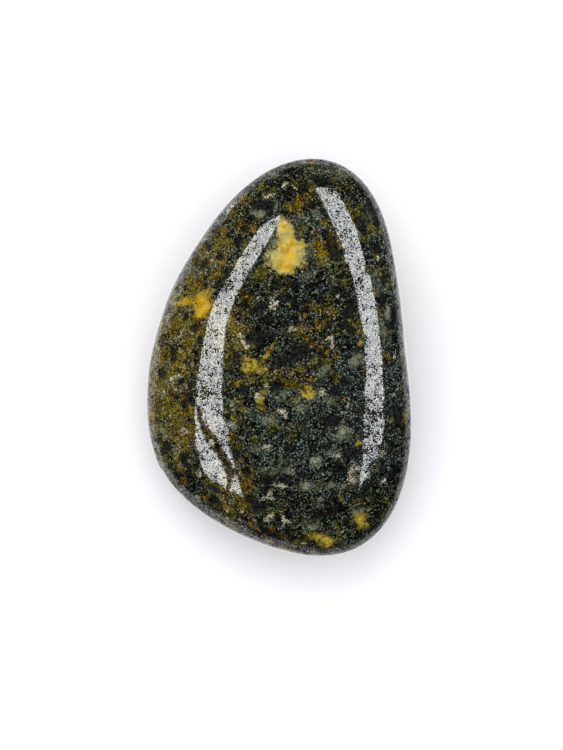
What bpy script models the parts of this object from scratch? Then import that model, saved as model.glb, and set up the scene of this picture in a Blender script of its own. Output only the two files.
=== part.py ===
"""Preseli bluestone palm stone: one polished dolerite pebble that lies on a small flat spot.

The pebble is a single solid. Its surface is a sphere reshaped by a rule with three parts: the outline
of its girth, a dome above the girth and a belly below it. The stone lies along +Y, its broad end
towards -Y, with its rest at z = 0 and the origin under the middle of its bounding box.

Measurements are in millimetres and degrees until the mesh is made, which is in metres.
"""
import math

import bmesh
import bpy
import numpy as np

MM = 0.001

# The girth is the level curve where the stone is widest. Its distance from the stone's middle was read
# every 18 degrees, counterclockwise from +X.
GIRTH_READINGS = (18.6, 18.9, 21.3, 26.5, 33.1, 34.0, 30.2, 26.3, 24.3, 23.5,
                  24.0, 25.5, 27.4, 28.1, 28.8, 30.4, 31.3, 28.1, 23.4, 20.1)

# Near the middle of either side the level curves are ovals, which turn into the girth's outline outwards.
OVAL_HALF_WIDTH = 21.3
OVAL_HALF_LENGTH = 30.7
OVAL_TURN = -4.6
OVAL_FADE = 4.0

# The girth isn't level: it climbs this much per millimetre towards +X and towards +Y. The belly forgets
# the climb towards its middle, so that it comes down level on its rest.
GIRTH_SLOPE = (0.044, 0.09)
SLOPE_FADE = 3.0

# The dome: its rise above the girth at the middle, and how square its profile is outwards and upwards
# (2 and 2 would be an ellipse).
DOME_RISE = 10.5
DOME_OUT_POWER = 2.55
DOME_UP_POWER = 2.1

# The dome's unevenness, as shares of its rise. Each pair is one smooth wave over the stone, first as it
# lies along X and then as it lies turned: a lean, a saddle and a three-sided swell.
DOME_LEAN = (-0.12, 0.10)
DOME_SADDLE = (0.024, -0.023)
DOME_TREFOIL = (-0.012, 0.07)

# The belly: the same, downwards. It is worn flat where the stone rests, this far below the girth's middle.
BELLY_DROP = 10.0
BELLY_OUT_POWER = 2.4
BELLY_DOWN_POWER = 2.1
BELLY_LEAN = (-0.03, 0.06)
BELLY_SADDLE = (-0.03, 0.02)
BELLY_TREFOIL = (0.03, -0.02)
REST_DEPTH = 9.8

# Subdivisions of the icosphere that is reshaped, and how near the rest a point is moved onto it.
SPHERE_SUBDIVISIONS = 5
REST_SNAP = 0.06

STONE_COLOUR = (0.042, 0.043, 0.027, 1.0)
STONE_ROUGHNESS = 0.32


def girth_radius(turn):
    """Distance from the middle to the girth at an angle: the smooth wave through the evenly spaced readings."""
    waves = np.fft.rfft(GIRTH_READINGS) / len(GIRTH_READINGS)
    waves[1:-1] *= 2.0
    order = np.arange(len(waves))
    return (waves * np.exp(1j * np.outer(turn, order))).real.sum(axis=1)


def oval_radius(turn):
    """Distance from the middle to an oval of the two half sizes, turned by OVAL_TURN."""
    angle = turn - math.radians(OVAL_TURN)
    return 1.0 / np.hypot(np.cos(angle) / OVAL_HALF_WIDTH, np.sin(angle) / OVAL_HALF_LENGTH)


def unevenness(out, turn, lean, saddle, trefoil):
    """One plus three waves around the stone, which grow with out, out squared and out cubed."""
    return (1.0
            + out * (lean[0] * np.cos(turn) + lean[1] * np.sin(turn))
            + out ** 2 * (saddle[0] * np.cos(2 * turn) + saddle[1] * np.sin(2 * turn))
            + out ** 3 * (trefoil[0] * np.cos(3 * turn) + trefoil[1] * np.sin(3 * turn)))


def level_curve(out, turn):
    """Place across the stone: at the share out of the way to the girth, on a curve between oval and girth."""
    blend = out ** OVAL_FADE
    radius = out * ((1.0 - blend) * oval_radius(turn) + blend * girth_radius(turn))
    return radius * np.cos(turn), radius * np.sin(turn)


def dome(climb, turn):
    """Upper surface: out ** OUT_POWER + up ** UP_POWER = 1 gives its profile, which stands on the girth."""
    out = np.cos(climb) ** (2.0 / DOME_OUT_POWER)
    up = np.sin(climb) ** (2.0 / DOME_UP_POWER)
    x, y = level_curve(out, turn)
    slope = GIRTH_SLOPE[0] * x + GIRTH_SLOPE[1] * y
    z = DOME_RISE * up * unevenness(out, turn, DOME_LEAN, DOME_SADDLE, DOME_TREFOIL) + slope
    return x, y, z


def belly(climb, turn):
    """Lower surface: the same profile downwards, hung from the girth."""
    out = np.cos(climb) ** (2.0 / BELLY_OUT_POWER)
    down = np.sin(climb) ** (2.0 / BELLY_DOWN_POWER)
    x, y = level_curve(out, turn)
    slope = (GIRTH_SLOPE[0] * x + GIRTH_SLOPE[1] * y) * out ** SLOPE_FADE
    z = slope - BELLY_DROP * down * unevenness(out, turn, BELLY_LEAN, BELLY_SADDLE, BELLY_TREFOIL)
    return x, y, z


def pebble_points(sphere):
    """Points of the pebble, in millimetres, for points of the unit sphere: latitude climbs, longitude turns."""
    turn = np.arctan2(sphere[:, 1], sphere[:, 0])
    climb = np.arcsin(np.clip(np.abs(sphere[:, 2]), 0.0, 1.0))
    upper = np.stack(dome(climb, turn), axis=1)
    lower = np.stack(belly(climb, turn), axis=1)
    return np.where(sphere[:, 2:] >= 0.0, upper, lower)


def reshape_sphere(shape):
    """Move the unit sphere's vertices onto the pebble."""
    sphere = np.array([vertex.co for vertex in shape.verts])
    sphere /= np.linalg.norm(sphere, axis=1, keepdims=True)
    for vertex, place in zip(shape.verts, pebble_points(sphere) * MM):
        vertex.co = place


def wear_rest(shape):
    """Cut the belly off level at REST_DEPTH and close the cut with one flat face."""
    geometry = shape.verts[:] + shape.edges[:] + shape.faces[:]
    bmesh.ops.bisect_plane(shape, geom=geometry, dist=REST_SNAP * MM, plane_co=(0, 0, -REST_DEPTH * MM),
                           plane_no=(0, 0, 1), use_snap_center=True, clear_inner=True)
    open_edges = [edge for edge in shape.edges if edge.is_boundary]
    bmesh.ops.holes_fill(shape, edges=open_edges)
    bmesh.ops.recalc_face_normals(shape, faces=shape.faces[:])


def stand_on_origin(shape):
    """Shift the stone so that the origin is under the middle of its bounding box, at the rest."""
    places = np.array([vertex.co for vertex in shape.verts])
    low, high = places.min(axis=0), places.max(axis=0)
    shift = (-(low[0] + high[0]) / 2, -(low[1] + high[1]) / 2, -low[2])
    bmesh.ops.translate(shape, verts=shape.verts[:], vec=shift)


def stone_material():
    """Dark green-grey dolerite with a hand polish."""
    material = bpy.data.materials.new("bluestone")
    material.use_nodes = True
    surface = material.node_tree.nodes["Principled BSDF"]
    surface.inputs["Base Color"].default_value = STONE_COLOUR
    surface.inputs["Roughness"].default_value = STONE_ROUGHNESS
    surface.inputs["Metallic"].default_value = 0.0
    material.diffuse_color = STONE_COLOUR
    return material


def make_palm_stone(collection):
    """The one solid: an icosphere reshaped, worn flat below and set on the origin."""
    shape = bmesh.new()
    bmesh.ops.create_icosphere(shape, subdivisions=SPHERE_SUBDIVISIONS, radius=1.0)
    reshape_sphere(shape)
    wear_rest(shape)
    stand_on_origin(shape)
    mesh = bpy.data.meshes.new("palm_stone")
    shape.to_mesh(mesh)
    shape.free()
    mesh.shade_smooth()
    mesh.materials.append(stone_material())
    stone = bpy.data.objects.new("palm_stone", mesh)
    collection.objects.link(stone)
    return stone


for old in list(bpy.data.objects):
    bpy.data.objects.remove(old, do_unlink=True)

bluestone_palm_stone = bpy.data.collections.new("bluestone_palm_stone")
bpy.context.scene.collection.children.link(bluestone_palm_stone)
make_palm_stone(bluestone_palm_stone)
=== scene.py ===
# %% [markdown]
# # A polished bluestone pebble
# The real object is one piece of spotted dolerite, tumbled by water, then sanded and polished until it
# shines. So there is one piece to make: its form, its fine wear and its mineral colours. The packed
# model gives the exact form and place, and the looks are built round it.

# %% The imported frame
import math

import bpy
import numpy as np
from mathutils import Matrix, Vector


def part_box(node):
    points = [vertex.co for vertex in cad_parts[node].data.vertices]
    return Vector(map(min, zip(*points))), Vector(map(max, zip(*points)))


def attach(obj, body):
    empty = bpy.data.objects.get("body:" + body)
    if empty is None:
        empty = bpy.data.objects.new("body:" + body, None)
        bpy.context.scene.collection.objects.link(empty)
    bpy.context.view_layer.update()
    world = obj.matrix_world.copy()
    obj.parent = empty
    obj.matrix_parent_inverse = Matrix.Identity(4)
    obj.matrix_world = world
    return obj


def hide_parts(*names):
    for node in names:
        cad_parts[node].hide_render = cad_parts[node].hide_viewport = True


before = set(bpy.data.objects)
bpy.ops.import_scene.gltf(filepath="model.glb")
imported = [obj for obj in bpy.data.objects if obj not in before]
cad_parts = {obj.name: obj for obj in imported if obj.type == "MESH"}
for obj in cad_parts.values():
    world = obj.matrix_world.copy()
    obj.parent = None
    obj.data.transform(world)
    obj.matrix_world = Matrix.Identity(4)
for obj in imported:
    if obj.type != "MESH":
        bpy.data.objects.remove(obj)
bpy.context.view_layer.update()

# %% [markdown]
# ## The stone's measures
# A pebble has no straight line to measure from. A ring of readings round its girth gives the outline,
# and the two sides are swellings above and below that ring. Nobody held the stone: a program read the
# ring from the outline in the photo. The dome's rise is assumed, and for that rise a program fitted the
# rest of the dome to the two bands of light reflected there. The belly is a guess. The same measures
# made the solid, so the fine surface lies where the solid is. Lengths are millimetres until the mesh is
# made.

# %% Girth, dome and belly
MM = 0.001
GIRTH_READINGS = (18.6, 18.9, 21.3, 26.5, 33.1, 34.0, 30.2, 26.3, 24.3, 23.5,
                  24.0, 25.5, 27.4, 28.1, 28.8, 30.4, 31.3, 28.1, 23.4, 20.1)
OVAL_HALF_WIDTH = 21.3
OVAL_HALF_LENGTH = 30.7
OVAL_TURN = -4.6
OVAL_FADE = 4.0
GIRTH_HEIGHT = 9.8
GIRTH_SLOPE = (0.044, 0.09)
SLOPE_FADE = 3.0
DOME_RISE = 10.5
DOME_POWERS = (2.55, 2.1)
DOME_WAVES = ((-0.12, 0.10), (0.024, -0.023), (-0.012, 0.07))
BELLY_DROP = 10.0
BELLY_POWERS = (2.4, 2.1)
BELLY_WAVES = ((-0.03, 0.06), (-0.03, 0.02), (0.03, -0.02))
REST_SOFTNESS = 0.03
print("mean of the girth readings:", round(sum(GIRTH_READINGS) / len(GIRTH_READINGS), 2), "mm")

# %% [markdown]
# ## The form as a function of two angles
# Every point is found from how far it climbs from the girth to the middle of a side, and from its
# turn round the stone. Sculpting would give a pebble too, but a formula can be measured and repeated.

# %% Outline and level curves
def girth_radius(turn):
    """Middle to girth: the smooth periodic wave that passes through the evenly spaced readings."""
    waves = np.fft.rfft(GIRTH_READINGS) / len(GIRTH_READINGS)
    waves[1:-1] *= 2.0
    order = np.arange(len(waves))
    return (waves * np.exp(1j * np.multiply.outer(turn, order))).real.sum(axis=-1)


def level_curve(out, turn):
    """Place across the stone at the share out of the way to the girth: an oval near the middle,
    the girth's outline at the rim, blended by out to the power OVAL_FADE."""
    angle = turn - math.radians(OVAL_TURN)
    oval = 1.0 / np.hypot(np.cos(angle) / OVAL_HALF_WIDTH, np.sin(angle) / OVAL_HALF_LENGTH)
    blend = out ** OVAL_FADE
    radius = out * ((1.0 - blend) * oval + blend * girth_radius(turn))
    return radius * np.cos(turn), radius * np.sin(turn)


print("girth radius towards the small end:", round(float(girth_radius(math.pi / 2)), 2), "mm")


# %% The two sides
def swelling(climb, turn, powers, waves):
    """One side: out = cos(climb) ** (2 / p) and up = sin(climb) ** (2 / q) give a profile between an
    ellipse and a box. The height is up times one plus three waves (a lean, a saddle, three lobes)
    that grow with out, out squared and out cubed."""
    out = np.cos(climb) ** (2.0 / powers[0])
    up = np.sin(climb) ** (2.0 / powers[1])
    uneven = 1.0
    for lobes, (level_wave, turned_wave) in enumerate(waves, start=1):
        wave = level_wave * np.cos(lobes * turn) + turned_wave * np.sin(lobes * turn)
        uneven = uneven + out ** lobes * wave
    return out, up * uneven


def pebble(sphere):
    """Points of the stone in mm for unit vectors of shape (..., 3): latitude climbs, longitude turns.
    The girth slopes, and the belly forgets the slope towards its rest, where it is worn level."""
    turn = np.arctan2(sphere[..., 1], sphere[..., 0])
    climb = np.arcsin(np.clip(np.abs(sphere[..., 2]), 0.0, 1.0))
    upper = sphere[..., 2] >= 0.0
    out_up, rise = swelling(climb, turn, DOME_POWERS, DOME_WAVES)
    out_down, drop = swelling(climb, turn, BELLY_POWERS, BELLY_WAVES)
    x, y = level_curve(np.where(upper, out_up, out_down), turn)
    slope = GIRTH_SLOPE[0] * x + GIRTH_SLOPE[1] * y
    belly = slope * out_down ** SLOPE_FADE - BELLY_DROP * drop
    worn = REST_SOFTNESS * np.logaddexp(0.0, (belly + GIRTH_HEIGHT) / REST_SOFTNESS) - GIRTH_HEIGHT
    return np.stack([x, y, np.where(upper, slope + DOME_RISE * rise, worn)], axis=-1)


print("middle of the dome, in mm:", np.round(pebble(np.array([0.0, 0.0, 1.0])), 2))


# %% [markdown]
# ## Six panels instead of a globe
# A globe's meridians crowd at its poles, just where the camera looks. The stone is covered like a
# parcel instead, by a lid, a base and four walls, each an even grid of unit vectors.

# %% Panels of unit vectors
LID_COLUMNS, LID_ROWS, WALL_ROWS = 130, 196, 66
WALL_HEIGHT = 0.72


def even_angles(count):
    """count + 1 values from -1 to 1 that are evenly spaced in angle as seen from the middle."""
    return np.tan(np.linspace(-math.pi / 4, math.pi / 4, count + 1))


def panel(first, second, corner_of):
    """Unit vectors (rows, columns, 3) of one panel of a box, each pushed out onto the sphere."""
    u, v = np.meshgrid(first, second)
    box_points = np.stack(np.broadcast_arrays(*corner_of(u, v)), axis=-1)
    return box_points / np.linalg.norm(box_points, axis=-1, keepdims=True)


across, along = even_angles(LID_COLUMNS), even_angles(LID_ROWS)
upwards = even_angles(WALL_ROWS) * WALL_HEIGHT
panels = [
    panel(across, along, lambda u, v: (u, v, WALL_HEIGHT)),
    panel(across[::-1], along, lambda u, v: (u, v, -WALL_HEIGHT)),
    panel(across, upwards, lambda u, v: (u, -1.0, v)),
    panel(across[::-1], upwards, lambda u, v: (u, 1.0, v)),
    panel(along, upwards, lambda u, v: (1.0, u, v)),
    panel(along[::-1], upwards, lambda u, v: (-1.0, u, v)),
]
print("panels:", [grid.shape[:2] for grid in panels])


# %% One welded shell
WELD_DECIMALS = 6


def quads(rows, columns, start):
    """Corner numbers of every cell of a grid whose points are numbered from start, row by row."""
    number = start + np.arange(rows * columns).reshape(rows, columns)
    corners = (number[:-1, :-1], number[:-1, 1:], number[1:, 1:], number[1:, :-1])
    return np.stack(corners, axis=-1).reshape(-1, 4)


def weld(grids):
    """Joins the panels: points whose unit vectors agree to WELD_DECIMALS become one."""
    points = np.concatenate([grid.reshape(-1, 3) for grid in grids])
    starts = np.cumsum([0] + [grid.shape[0] * grid.shape[1] for grid in grids[:-1]])
    cells = np.concatenate([quads(*grid.shape[:2], start) for grid, start in zip(grids, starts)])
    rounded = np.round(points, WELD_DECIMALS) + 0.0
    _, first, number = np.unique(rounded, axis=0, return_index=True, return_inverse=True)
    return points[first], number.reshape(-1)[cells]


sphere, faces = weld(panels)
places = pebble(sphere)
cad_low, cad_high = (np.array(corner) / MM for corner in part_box("palm_stone"))
low, high = places.min(axis=0), places.max(axis=0)
places = cad_low + (places - low) * (cad_high - cad_low) / (high - low)
print("points:", len(places), "cells:", len(faces))
print("stretch to the solid's box:", np.round((cad_high - cad_low) / (high - low), 4))


# %% [markdown]
# ## Directions out of the surface
# Wear is cut straight into the surface, so each point needs its outward direction. It is the sum of
# the cross products of the cells around it.

# %% Outward directions
def outward(points, cells):
    """Unit normals: each cell's crossed diagonals, added up at its four corners."""
    first, second, third, fourth = (points[cells[:, corner]] for corner in range(4))
    crossed = np.cross(third - first, fourth - second)
    total = np.zeros_like(points)
    for corner in range(4):
        for axis in range(3):
            total[:, axis] += np.bincount(cells[:, corner], crossed[:, axis], len(points))
    return total / np.linalg.norm(total, axis=1, keepdims=True)


normals = outward(places, faces)
from_middle = (normals * (places - places.mean(axis=0))).sum(axis=1)
print("smallest outward distance from the middle:", round(float(from_middle.min()), 2), "mm")

# %% [markdown]
# ## Where the mineral marks lie
# The stone carries grains and stains that anyone would know it by: a yellow epidote patch near the
# small end, ochre stains on the left, a rusty vein, pale clouds, cream flecks and black grains. An
# image would fix them to one view. Here each mark is a small ellipsoid of mineral in the stone, which
# the surface cuts, so it shows from every side. They were read off the photo, and a program
# turned those readings from pixels into millimetres.
# Each row is a mark: place (x, y), then half its length, half its width and the turn of its length in
# degrees. A mark with no turn lies level, and one with a single size is round.

# %% Yellow patches and orange stains
MARKS = {}
MARKS["epidote"] = (
    (1.2, 16.6, 2.9, 2.1), (0.8, 20.8, 2.4, 1.3, 97), (3.2, 18.4, 1.1, 1.1), (1.0, 14.9, 1.4, 1.1),
    (1.2, 18.6, 1.6, 1.8))
MARKS["amber"] = (
    (1.6, 17.0, 1.9, 1.1, 80), (2.0, 18.9, 1.0, 0.5, 80), (1.0, 21.5, 1.0, 0.4, -45),
    (1.0, 15.1, 1.1, 0.8), (0.2, 18.4, 1.1, 0.3, -45), (3.4, 18.6, 0.9, 0.3, -15), (-12.7, 8.4, 1.6, 1.7),
    (-15.2, 9.2, 1.6, 0.5, 8))
MARKS["yellow"] = (
    (-12.0, 10.4, 1.1, 0.8, 60), (-16.9, 8.8, 0.7, 0.5), (-4.4, -1.1, 2.0, 0.8, -25),
    (-4.9, -1.6, 1.0, 0.8), (-2.1, 0.2, 1.0, 0.4, 60), (-3.3, -6.8, 1.0, 0.5, 65),
    (-2.5, -5.7, 0.7, 0.4, 40), (-2.8, -8.1, 0.7, 0.3, -45), (4.9, -5.5, 1.0), (13.4, -26.2, 1.2, 0.8),
    (13.8, -27.4, 0.9, 0.7), (6.2, -29.2, 1.7, 0.6, -8), (7.7, -30.1, 1.3, 1.0, -35), (13.4, 2.5, 0.5),
    (13.0, -13.9, 0.5))
MARKS["orange"] = (
    (-16.9, 8.6, 0.5, 0.3), (4.9, 4.7, 0.5), (3.8, 6.8, 0.9, 0.3, -65), (5.4, 2.4, 0.8, 0.3, -80),
    (-18.4, 5.4, 0.7, 0.6), (-12.7, -10.8, 0.7, 0.2, -70), (-9.6, -15.4, 0.6, 0.2, -50),
    (-17.4, -5.6, 0.6, 0.4), (-1.6, -30.0, 0.8, 0.3), (3.2, 26.2, 0.4, 0.6))
print("marks so far:", sum(map(len, MARKS.values())))

# %% Ochre and olive stains
MARKS["ochre"] = (
    (3.4, 25.3, 0.7, 1.1), (2.4, 24.3, 0.6, 0.5), (-4.6, 21.0, 0.8, 0.6), (-7.8, 7.0, 0.5, 0.8),
    (-6.6, 4.6, 1.0, 0.6, 50), (-6.2, 3.2, 0.7, 0.5), (6.2, 6.2, 0.5, 0.4), (5.4, -3.4, 0.7, 0.5),
    (-6.4, -4.0, 1.1, 0.4, 15), (-4.3, -3.6, 0.7, 0.4, 60), (-5.2, -18.6, 0.5, 1.1, 30),
    (-5.3, -21.4, 0.6, 0.8), (-6.0, -23.2, 0.9, 0.6, -10), (-8.7, -24.5, 0.8, 0.9),
    (-4.4, -19.4, 0.6, 0.4, -80), (-10.7, -17.0, 0.5, 0.6), (-15.4, -14.9, 0.7, 0.8),
    (-14.9, 3.2, 0.4, 1.2), (-16.2, 0.7, 0.8, 0.6), (-14.6, -0.1, 0.6), (-16.9, -0.8, 0.8, 0.7),
    (-19.3, 0.1, 1.0), (-17.2, 5.3, 0.8, 0.6), (-19.5, 5.5, 1.0, 0.6, 60), (-20.7, -9.3, 0.7, 1.5),
    (-16.7, -6.5, 1.2, 0.4), (-15.1, -13.0, 0.9, 0.7), (-15.7, -9.0, 1.0, 0.6), (-14.3, -8.6, 0.6, 0.8),
    (-12.1, 2.0, 0.4), (-6.1, 26.1, 0.6, 0.8), (-7.2, 23.7, 0.6, 0.8), (-9.2, 20.9, 0.8, 0.6),
    (-10.5, 13.5, 0.8), (-9.3, 15.6, 0.7, 0.5), (-13.3, 11.9, 0.9, 0.6), (-14.6, 13.2, 0.8, 0.6),
    (5.6, 20.4, 0.4), (7.2, 22.2, 0.6, 0.4), (-19.8, -7.0, 0.6), (-4.6, -27.3, 0.8, 0.3, -50),
    (-8.2, -27.2, 0.8, 0.3, -30), (10.8, -6.7, 0.5), (10.0, -23.2, 0.6, 0.4), (0.2, -29.0, 1.3, 0.4, -10),
    (-1.1, -28.0, 0.6, 0.4), (6.4, 5.4, 0.5, 0.6), (8.9, 7.9, 0.5), (-1.6, 1.4, 0.6, 0.4),
    (7.7, 0.9, 0.5, 0.4), (-6.2, -8.1, 0.5, 0.4), (-7.9, 0.4, 0.6, 0.5), (-12.1, -22.9, 0.5, 0.6),
    (-15.4, -20.3, 0.8, 0.6), (-16.9, -16.5, 0.4, 0.8, 20), (6.7, 18.0, 0.4, 1.0), (8.5, 18.8, 0.4),
    (7.4, 17.2, 0.5, 0.5), (-8.0, -12.9, 0.6, 1.0, 10), (-6.2, -16.6, 0.7, 0.5, 40),
    (-5.2, -20.8, 0.8, 1.2, 20), (-6.9, -14.3, 0.5, 0.7))
MARKS["olive"] = (
    (7.0, 16.3, 1.0, 1.1), (10.5, 12.5, 0.8), (-0.5, -11.4, 1.0, 0.8), (8.0, -0.8, 0.7),
    (8.7, 29.2, 0.8, 0.5), (5.1, 28.4, 0.8), (-13.4, 6.6, 1.3, 0.7), (-15.1, 5.8, 1.0),
    (-2.8, 13.8, 1.3, 1.0), (-6.4, 15.6, 1.0, 0.8), (-8.4, 18.6, 1.0), (-5.6, 18.8, 0.8),
    (3.4, -11.1, 1.0, 0.7), (1.8, -13.0, 0.8, 0.7), (12.8, 23.7, 0.8, 1.0), (14.9, 21.5, 0.8, 1.5),
    (14.1, 19.6, 0.7), (3.4, 20.9, 0.8, 1.3), (-3.8, -13.5, 0.8, 0.7), (-8.5, 4.0, 0.5), (-4.3, 2.2, 0.7),
    (1.0, -3.7, 0.8, 0.5), (9.5, 4.5, 0.7, 0.5), (12.0, -20.9, 0.7), (3.4, -30.1, 1.3, 0.5),
    (-1.8, -25.3, 1.0, 0.7), (-5.4, -24.2, 1.1, 0.8), (-7.7, -25.5, 0.8, 1.1), (-18.5, -5.3, 1.1, 1.0),
    (-17.9, -8.3, 1.0, 0.8), (-19.5, -13.5, 0.7, 1.1), (-16.6, -11.1, 0.8, 1.0), (-18.7, -17.1, 0.7, 1.0),
    (-12.1, 1.2, 0.5), (-2.8, 27.9, 1.0, 0.7), (1.5, 25.0, 1.0, 0.7), (5.9, -0.6, 0.8, 0.6))
print("marks so far:", sum(map(len, MARKS.values())))

# %% Pale clouds and cream flecks
MARKS["pale"] = (
    (7.0, -2.2, 1.0, 1.5, -20), (6.9, -1.4, 0.8, 0.7), (4.4, -20.9, 0.8, 1.0), (3.9, -20.8, 0.7, 0.5),
    (-2.0, 17.6, 0.8, 1.5), (-1.1, 19.1, 0.8, 1.0), (-3.3, 23.7, 1.5, 0.8, -10), (-0.7, 25.0, 0.8, 1.0),
    (-1.0, 29.9, 0.8, 0.7), (7.5, 31.0, 2.6, 0.8), (10.2, 30.2, 1.0, 1.3), (4.1, 13.5, 0.8),
    (2.8, 19.7, 0.8, 1.0), (-1.3, -10.1, 1.1, 1.0), (3.1, -7.5, 1.1, 1.0), (4.1, -8.1, 1.0, 0.8),
    (10.0, -12.4, 2.0, 1.3, -10), (9.2, -15.5, 1.0, 0.7), (-7.2, -7.8, 1.1, 0.7, 40),
    (-7.5, -7.6, 0.7, 1.0), (6.4, -16.8, 1.0, 0.8), (1.5, -18.8, 1.1, 0.8), (-0.5, -18.1, 1.1, 0.8),
    (-2.5, -18.5, 1.0, 0.8), (1.3, -17.1, 1.3, 0.5), (12.8, -0.8, 1.3, 0.8, 20), (12.8, 0.9, 1.0, 0.7),
    (15.9, 13.0, 1.0, 2.0, 60), (17.2, 11.5, 0.7, 1.1, 60), (17.9, 7.3, 0.8, 1.0),
    (16.9, 5.8, 0.8, 0.5, 50), (17.2, 4.2, 0.5, 1.0), (9.2, 12.4, 0.5, 0.7), (3.9, 32.0, 1.0, 0.5),
    (11.6, 30.1, 1.5, 0.8, -40), (5.9, -27.3, 1.6, 0.8, -10), (6.4, -24.0, 0.7, 1.0),
    (12.6, -24.7, 0.8, 0.7), (13.9, -25.0, 0.7), (-8.0, -11.2, 1.0, 0.7), (-19.0, -12.2, 1.1, 0.4, -50),
    (-19.0, -17.8, 1.5, 0.4, -60), (-11.0, -21.7, 0.7, 0.5), (-3.6, -21.9, 1.0, 0.4, 50),
    (4.9, 17.8, 0.8, 1.0), (3.4, 22.7, 1.1, 0.8), (6.1, 23.5, 0.8, 1.0), (0.7, 4.3, 0.5),
    (-5.4, -9.0, 0.7), (6.9, -5.5, 0.7, 0.5), (5.4, -6.7, 0.8, 0.7), (8.4, -7.0, 1.0, 0.7),
    (-0.5, -6.2, 0.8), (1.3, -5.8, 0.8, 0.7), (12.8, 20.9, 0.7, 1.0), (7.9, -20.6, 1.1, 0.7),
    (-6.4, 4.5, 0.7, 0.5), (-11.0, 12.7, 0.8), (-7.0, 14.8, 0.8), (-5.1, 14.0, 0.8, 0.7),
    (-13.4, 14.3, 1.0, 0.8), (-3.9, -14.9, 1.0, 0.7), (5.7, -20.9, 0.8, 0.7), (10.5, -20.9, 0.7),
    (15.2, 24.2, 0.7, 2.0, 15))
MARKS["mint"] = (
    (6.9, -2.1, 1.0, 0.5, 50), (12.9, -0.4, 1.2, 0.6, 20), (6.1, -16.9, 0.8, 0.7), (4.4, -21.1, 0.8, 0.7),
    (1.8, -18.8, 0.6, 0.4), (6.6, -23.3, 0.5, 0.4), (-3.1, 23.8, 0.9, 0.5), (17.7, 7.4, 0.5, 0.9),
    (12.9, -25.2, 0.7, 0.5), (5.4, -27.7, 0.9, 0.4), (-19.2, -12.0, 1.0, 0.3, -50),
    (-19.0, -17.8, 1.2, 0.3, -60), (10.6, -11.8, 0.9, 0.6), (3.0, -8.4, 0.6, 0.5),
    (-2.4, -10.3, 0.6, 0.5))
MARKS["cream"] = (
    (-0.8, 8.9, 0.6), (-0.3, 9.2, 0.5, 0.3), (-1.1, 8.3, 0.4), (-6.4, 3.5, 0.5),
    (-5.7, 2.4, 0.8, 0.3, -50), (-5.2, 1.7, 0.5, 0.2), (1.8, 5.0, 0.5), (2.5, 4.7, 0.5, 0.2, 40),
    (8.2, 3.2, 0.6, 0.4, 30), (8.5, 2.2, 0.3, 0.7), (-2.3, -4.4, 0.7, 0.2, -35), (-3.4, -6.0, 0.5),
    (0.5, -8.8, 0.6, 0.4), (1.1, -9.8, 0.7, 0.3, -60), (7.2, -5.7, 0.5), (-8.0, -10.8, 0.6, 0.3, 30),
    (9.3, -16.0, 0.9, 0.4, -10), (12.3, -18.6, 0.8), (12.1, -19.9, 0.7), (13.0, -17.8, 0.5),
    (-2.0, -14.7, 0.5), (0.0, -20.9, 0.7, 0.4), (0.8, -21.1, 0.5, 0.3), (-2.5, -23.0, 0.8, 0.3, 35),
    (-1.3, -22.9, 0.8, 0.3), (-1.6, -22.2, 0.4), (-15.6, -11.9, 0.8, 0.5), (-2.0, -26.5, 0.6, 0.4),
    (-1.3, -25.8, 0.5), (0.7, -26.3, 0.3, 0.7), (1.1, -26.8, 0.5, 0.3), (0.8, -27.6, 0.3, 0.5),
    (-3.6, 9.9, 0.2), (2.6, 27.9, 0.7, 0.2, -50), (1.3, 28.8, 0.5, 0.2), (0.7, 28.4, 0.5, 0.2, 20),
    (9.7, 10.2, 0.3), (18.7, -6.0, 0.5, 0.2), (17.2, 18.8, 0.3), (16.2, 16.5, 0.2, 0.4), (-5.6, 1.9, 0.3),
    (-7.9, -7.6, 0.3), (10.8, -9.1, 0.5, 0.3), (11.3, -7.6, 0.2, 0.5), (14.3, -14.7, 0.5),
    (-11.0, -13.7, 0.5), (-10.3, -17.1, 0.8, 0.4), (-17.2, -3.4, 0.8, 0.3, 20),
    (-16.1, -2.9, 0.5, 0.2, -20), (-15.2, -4.7, 0.3), (-13.1, -19.0, 0.4, 0.7), (-8.5, -25.0, 0.2, 0.5),
    (-8.4, -26.3, 0.3), (-13.4, -22.7, 0.5, 0.3), (-1.3, 27.0, 0.5, 0.3), (-2.1, 26.3, 0.5, 0.3),
    (-7.7, 25.1, 0.5, 0.7), (-8.2, 24.2, 0.3, 0.8), (17.0, -15.5, 0.5), (4.1, -30.3, 0.5, 0.2),
    (6.7, -23.0, 0.3), (3.9, 14.2, 0.2), (-17.0, -5.2, 0.3), (-18.7, -5.5, 0.5, 0.2, -60),
    (-6.1, -25.3, 0.3), (-6.4, -26.5, 0.4, 0.2, -40), (18.9, 0.2, 0.3), (-7.7, -5.5, 0.2),
    (17.2, -20.1, 0.7, 0.2, 40), (6.1, -17.0, 0.3))
print("marks so far:", sum(map(len, MARKS.values())))

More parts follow.
